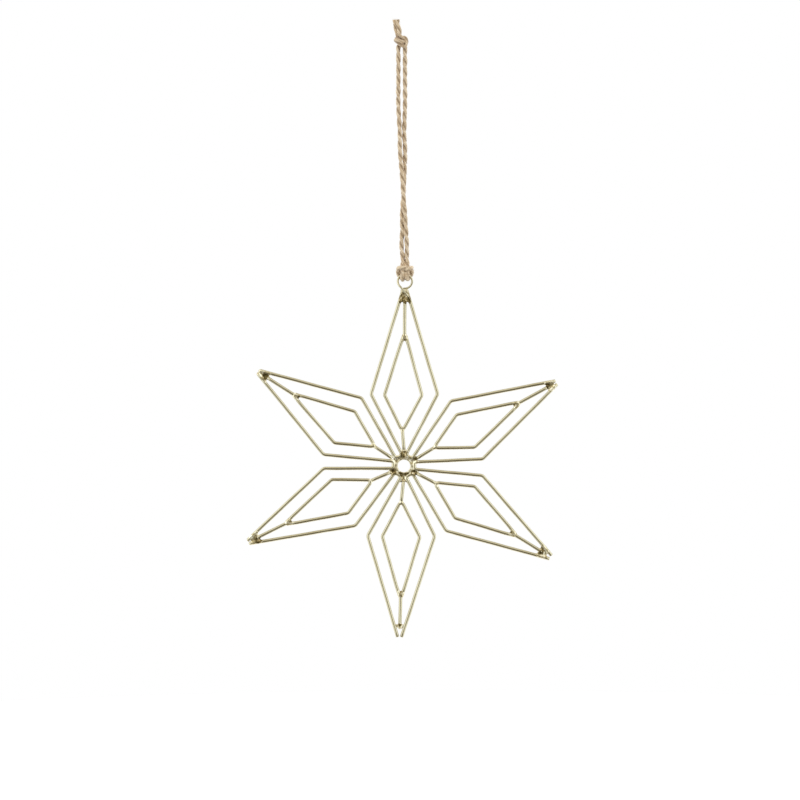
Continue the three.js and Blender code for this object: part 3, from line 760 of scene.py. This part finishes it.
def surface_net(field, low, step):
    """A quad mesh of the surface where a block of samples changes sign."""
    cells = tuple(n - 1 for n in field.shape)
    total, count = np.zeros(cells + (3,)), np.zeros(cells)

    def corners(shift):
        return field[tuple(slice(s, s + n) for s, n in zip(shift, cells))]

    for axis in range(3):
        for other in itertools.product((0, 1), repeat=2):
            start = np.insert(np.array(other), axis, 0)
            end = np.insert(np.array(other), axis, 1)
            a, b = corners(start), corners(end)
            cross = (a < 0) != (b < 0)
            share = np.where(cross, a / np.where(cross, a - b, 1), 0)
            for k in range(3):
                total[..., k] += np.where(cross, share if k == axis else start[k], 0)
            count += cross
    used = count > 0
    index = np.full(cells, -1)
    index[used] = np.arange(used.sum())
    points = low + step * (np.argwhere(used) + total[used] / count[used][:, None])
    faces = []
    for axis in range(3):
        b, c = (axis + 1) % 3, (axis + 2) % 3
        inner = [slice(1, n - 1) for n in field.shape]
        lower, upper = list(inner), list(inner)
        lower[axis], upper[axis] = slice(0, -1), slice(1, None)
        start, end = field[tuple(lower)] < 0, field[tuple(upper)] < 0
        offset = np.ones(3, int)
        offset[axis] = 0
        for outward in (True, False):
            at = np.argwhere((start & ~end) if outward else (~start & end)) + offset
            step_b, step_c = np.eye(3, dtype=int)[b], np.eye(3, dtype=int)[c]
            ring = [at - step_b - step_c, at - step_c, at, at - step_b]
            quads = np.stack([index[tuple(cell.T)] for cell in ring], axis=1)
            faces.append(quads if outward else quads[:, ::-1])
    return points, np.vstack(faces)


def braze(name, angle, low, high, zone, wires, nodes, seed, burnt, soft=0.35, web=None, step=0.24):
    """The braze at one joint. low and high bound it along the petal, across it and towards the front."""
    rng = np.random.default_rng(seed)
    shape = [int(math.ceil((b - a) / step)) + 1 for a, b in zip(low, high)]
    axes = [a + step * np.arange(n) for a, n in zip(low, shape)]
    local = np.stack(np.meshgrid(*axes, indexing="ij"), axis=-1).reshape(-1, 3)
    origin = on_petal(angle, 0)
    basis = np.array([on_petal(angle, 1) - origin, on_petal(angle, 0, 1) - origin, (0, -1, 0)])
    points = origin + local @ basis
    centre, reach = zone
    past = np.maximum(np.linalg.norm(points - centre, axis=1) - reach, 0)
    drop = THIN_SLOWLY * past + THIN_FAST * np.maximum(past - THIN_FAST_FROM, 0)
    size = np.linalg.norm(np.array(high) - np.array(low)) / 2
    fields = []
    for line, radius in wires:
        part = near_part(line, on_petal(angle, (low[0] + high[0]) / 2), size)
        if part is not None:
            fields.append(distance_to(points, part) - radius + BRAZE_SUNK + drop)
    if web is not None:
        fields.append(web(*local.T))
    field = joined(fields, soft) + END_RATE * np.maximum(past - END_FROM, 0)
    for _ in range(BRAZE_WAVES):
        wave = rng.normal(0, BRAZE_WAVE_RATE, 3)
        field = field + BRAZE_WAVE * np.sin(local @ wave + rng.uniform(0, 6.28))
    skin, faces = surface_net(field.reshape(shape), np.array(low), step)
    points = origin + skin @ basis
    burn = np.zeros(len(points))
    for centre, reach in burnt:
        away = np.linalg.norm(points - centre, axis=1)
        burn = np.maximum(burn, 1 - step_up(away, BURNT_CORE * reach, reach))
    piece = new_piece(name, points, faces, brazed, marks={"burnt": burn})
    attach(piece, "star")
    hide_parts(*nodes)
    return piece


def web_between(narrow, wide, drawn_in, thin=0.42, thick=0.72):
    """A thin web between two wires: narrow and wide are (place along the petal, half width)."""
    run = (wide[1] - narrow[1]) / (wide[0] - narrow[0])
    sign = 1 if wide[0] < narrow[0] else -1

    def field(u, v, w):
        half = narrow[1] + run * (u - narrow[0])
        share = np.clip(np.abs(v) / np.maximum(half, 0.3), 0, 1)
        edge = wide[0] + sign * drawn_in * (1 - share**2)
        depth = np.abs(w) - thin - (thick - thin) * share**2
        return np.maximum.reduce([depth, sign * (edge - u), sign * (u - narrow[0]), np.abs(v) - half])

    return field


# The blocks of space that the brazes are drawn in: at the tip, how far back, on, aside and in depth, and
# at the other joints two corners.
TIP_BLOCK = (12, 2.5, 6.5, 3.4)
FAR_BLOCK = ((67.6, -4.4, -2.2), (78.0, 4.4, 2.2))
NEAR_BLOCK = ((16.6, -5.2, -2.2), (26.0, 5.2, 2.2))
HUB_BLOCK = ((-13.5, -13.5, -2.0), (13.5, 13.5, 2.0))
# The corners' and the hub's brazes: place along the petal and reach, and the far corner's web.
FAR_ZONE, FAR_BURNT, NEAR_ZONE, HUB_ZONE = (73.8, 1.5), (72.6, 1.5), (21.2, 1.4), 8.6
FAR_WEB = ((74.6, 0.8), (71.6, 1.7), 0.7)
# How far back from the tip each tip's braze starts and ends.
TIP_BRAZE = ((0.9, 7.4), (1.8, 6.4), (2.6, 8.2), (5.8, 7.4), (1.6, 7.4), (0.6, 6.4))
# The spot at each tip that the flame left dark: how far back, to the left, and its size.
TIP_BURNT = (
    (5.0, 0, 5.4), (5.4, 0.8, 2.2), (7.0, 0.2, 3.2), (7.0, 0, 1.8), (5.8, 1.4, 3.2), (4.6, 0.2, 2.8),
)
eye_wire = (eye_line(), EYE_WIRE)
for k, petal in enumerate(NAMES):
    angle, reach = ANGLES[k], REACHES[k]
    arms = [(outer_lines[k - 1], WIRE), (outer_lines[k], WIRE)]
    diamond, tip_link, hub_link = ((line(k), WIRE) for line in (diamond_line, tip_link_line, hub_link_line))
    back, aside, burnt_size = TIP_BURNT[k]
    tip_run = (SHOULDER[1] - TIP_HALF) / (reach - SHOULDER[0])
    web_start, web_end = ((reach - place, TIP_HALF + tip_run * place) for place in TIP_BRAZE[k])
    middle, spread_out = (web_start[0] + web_end[0]) / 2, (web_start[0] - web_end[0]) / 2
    braze(
        f"flowed_tip_{petal}",
        angle,
        (reach - TIP_BLOCK[0], -TIP_BLOCK[2], -TIP_BLOCK[3]),
        (reach + TIP_BLOCK[1], TIP_BLOCK[2], TIP_BLOCK[3]),
        (on_petal(angle, middle), spread_out + 0.4),
        arms + [tip_link] + ([eye_wire] if k == 0 else []),
        [f"tip_braze_{petal}"],
        60 + k,
        [(on_petal(angle, reach - back, aside), burnt_size)],
        web=web_between(web_start, web_end, 0.3 * spread_out),
    )
    braze(
        f"flowed_far_{petal}",
        angle,
        *FAR_BLOCK,
        (on_petal(angle, FAR_ZONE[0]), FAR_ZONE[1]),
        [diamond, tip_link],
        [f"far_braze_{petal}"],
        70 + k,
        [(on_petal(angle, FAR_BURNT[0]), FAR_BURNT[1])],
        web=web_between(*FAR_WEB),
    )
    braze(
        f"flowed_near_{petal}",
        angle,
        *NEAR_BLOCK,
        (on_diamond(k, NEAR_ZONE[0]), NEAR_ZONE[1]),
        [diamond, hub_link],
        [f"near_braze_{petal}"],
        80 + k,
        [],
        soft=0.4,
    )


# Where each pocket's braze at the hub starts and ends, out from the hub's centre.
HUB_BRAZE = ((4.8, 9.6), (5.4, 8.6), (5.4, 8.8), (4.6, 9.6), (5.0, 9.2), (5.4, 8.2))
# The web between the ring and the U bends, out from the hub's centre.
HUB_WEB = (4.2, 5.7)
HUB_WEB_THICK = 0.4
# A pocket's half width, where and how fast it opens, its web's thickness in the middle, what the sides add,
# and how far the web's outer edge is drawn in.
POCKET_HALF = 1.3
POCKET_OPENS, POCKET_FLARE = 8, 0.42
POCKET_THIN, POCKET_THICKER = 0.45, 0.25
POCKET_DRAWN_IN = 0.9
# Spots at the hub that the flame left dark: direction, distance out and size.
HUB_BURNT = [
    (on_petal(turn, out), size)
    for turn, out, size in (
        (ANGLES[0], 7.0, 3.2),
        (ANGLES[1] + 6, 7.8, 1.9),
        (ANGLES[2] - 3, 7.0, 2.6),
        (ANGLES[3] - 22, 5.4, 2.2),
        (ANGLES[3] + 20, 5.2, 2.0),
        (ANGLES[3], 8.8, 2.0),
        (ANGLES[4] + 4, 7.0, 2.9),
    )
]


def hub_pockets(u, v, w):
    """The webs in the six pockets between the U bends and the hub links, and round the ring."""
    turn = np.degrees(np.arctan2(v, u))
    out = np.hypot(u, v)
    fields = []
    for angle, (near, far) in zip(ANGLES, HUB_BRAZE):
        off = np.radians((turn - angle + 180) % 360 - 180)
        along, across = out * np.cos(off), np.abs(out * np.sin(off))
        half = POCKET_HALF + POCKET_FLARE * np.maximum(along - POCKET_OPENS, 0)
        share = np.clip(across / half, 0, 1)
        depth = np.abs(w) - POCKET_THIN - POCKET_THICKER * share**2
        ends = near - along, along - far + POCKET_DRAWN_IN * (1 - share**2)
        fields.append(np.maximum.reduce([depth, *ends, across - half]))
    inner, outer = HUB_WEB
    fields.append(np.maximum.reduce([np.abs(w) - HUB_WEB_THICK, inner - out, out - outer]))
    return np.minimum.reduce(fields)


braze(
    "flowed_hub",
    0.0,
    *HUB_BLOCK,
    (HUB, HUB_ZONE),
    [(line, WIRE) for line in outer_lines]
    + [(hub_link_line(k), WIRE) for k in range(6)]
    + [(np.vstack([ring_line(), ring_line()[:1]]), RING_WIRE)],
    [f"hub_braze_{petal}" for petal in NAMES],
    90,
    HUB_BURNT,
    soft=0.25,
    web=hub_pockets,
)


# Floor, world and lamps
def any_of(tree, outputs):
    total = outputs[0]
    for output in outputs[1:]:
        total = combined(tree, "MAXIMUM", total, output)
    return total


def seen_rays(tree):
    rays = tree.nodes.new("ShaderNodeLightPath")
    return [rays.outputs[key] for key in ("Is Camera Ray", "Is Glossy Ray", "Is Transmission Ray")]


FLOOR = (0.0, 0.62, -0.46)
FLOOR_RADIUS = 0.66
# What the floor's own light adds where it is seen, so that it shows as white.
FLOOR_GLOW = 0.42
turn = np.linspace(0, 2 * math.pi, 96, endpoint=False)
disc = np.stack([np.cos(turn), np.sin(turn), 0 * turn], axis=1) * FLOOR_RADIUS + np.array(FLOOR)
floor_material, tree, principled = shader("pale_floor", 0.0, 0.9)
principled.inputs["Base Color"].default_value = (0.82, 0.82, 0.82, 1)
principled.inputs["Emission Color"].default_value = (1, 1, 1, 1)
glow = spread(tree, any_of(tree, seen_rays(tree)), 0.0, FLOOR_GLOW, 0.0, 1.0)
tree.links.new(glow, principled.inputs["Emission Strength"])
floor = new_piece("floor", disc / MM, [range(len(disc))], floor_material)

world = bpy.data.worlds.new("studio")
scene.world = world
world.use_nodes = True
tree = world.node_tree
background = tree.nodes["Background"]
direction = tree.nodes.new("ShaderNodeSeparateXYZ")
tree.links.new(coordinates(tree, "Generated"), direction.inputs[0])
right, back, up = direction.outputs

# A pale room with a darker floor, cool windows to both sides and a dim strip in front and below.
aside = combined(tree, "ABSOLUTE", right)
walls = ramp(
    tree,
    spread(tree, up, 0.0, 1.0, -1.0, 1.0),
    [
        (0.0, (0.27, 0.23, 0.15)),
        (0.17, (0.42, 0.375, 0.28)),
        (0.35, (0.65, 0.6, 0.49)),
        (0.55, (1.0, 0.985, 0.95)),
        (0.8, (0.92, 0.91, 0.88)),
        (1.0, (0.85, 0.845, 0.82)),
    ],
)
room = mixed(tree, spread(tree, aside, 0.0, 0.9, 0.15, 0.7), walls, (0.9, 0.98, 1.1))
narrow = spread(tree, aside, 1.0, 0.0, 0.2, 0.6)
low = spread(tree, up, 1.0, 0.0, 0.0, 0.8)
front = spread(tree, back, 0.65, 0.0, -0.7, -0.2)
strip = product(tree, narrow, low, front)
windows = product(tree, spread(tree, aside, 0.0, 0.85, 0.25, 0.7), spread(tree, up, 0.0, 1.0, -0.6, -0.1))
level = combined(tree, "SUBTRACT", combined(tree, "ADD", windows, 1.0), strip)
camera_ray, glossy_ray, through_ray = seen_rays(tree)
backdrop = product(tree, glossy_ray, spread(tree, back, 0.0, 1.0, 0.1, 0.6))
white = any_of(tree, [camera_ray, backdrop, through_ray])
tree.links.new(mixed(tree, white, room, (1, 1, 1)), background.inputs["Color"])
strength = tree.nodes.new("ShaderNodeMix")
for value, socket in zip((white, level), (strength.inputs[0], strength.inputs[2])):
    tree.links.new(value, socket)
strength.inputs[3].default_value = 1.0
tree.links.new(strength.outputs[0], background.inputs["Strength"])


def softbox(name, place, aim, size, watts):
    lamp = bpy.data.lights.new(name, "AREA")
    lamp.shape = "RECTANGLE"
    lamp.size, lamp.size_y = size
    lamp.energy = watts
    box = bpy.data.objects.new(name, lamp)
    scene.collection.objects.link(box)
    box.location = place
    away = box.location - Matrix.Translation(aim).to_translation()
    box.rotation_euler = away.to_track_quat("Z", "Y").to_euler()


softbox("key", (-0.3, -1.2, 1.9), (0, 0, -0.2), (3.0, 2.4), 8)
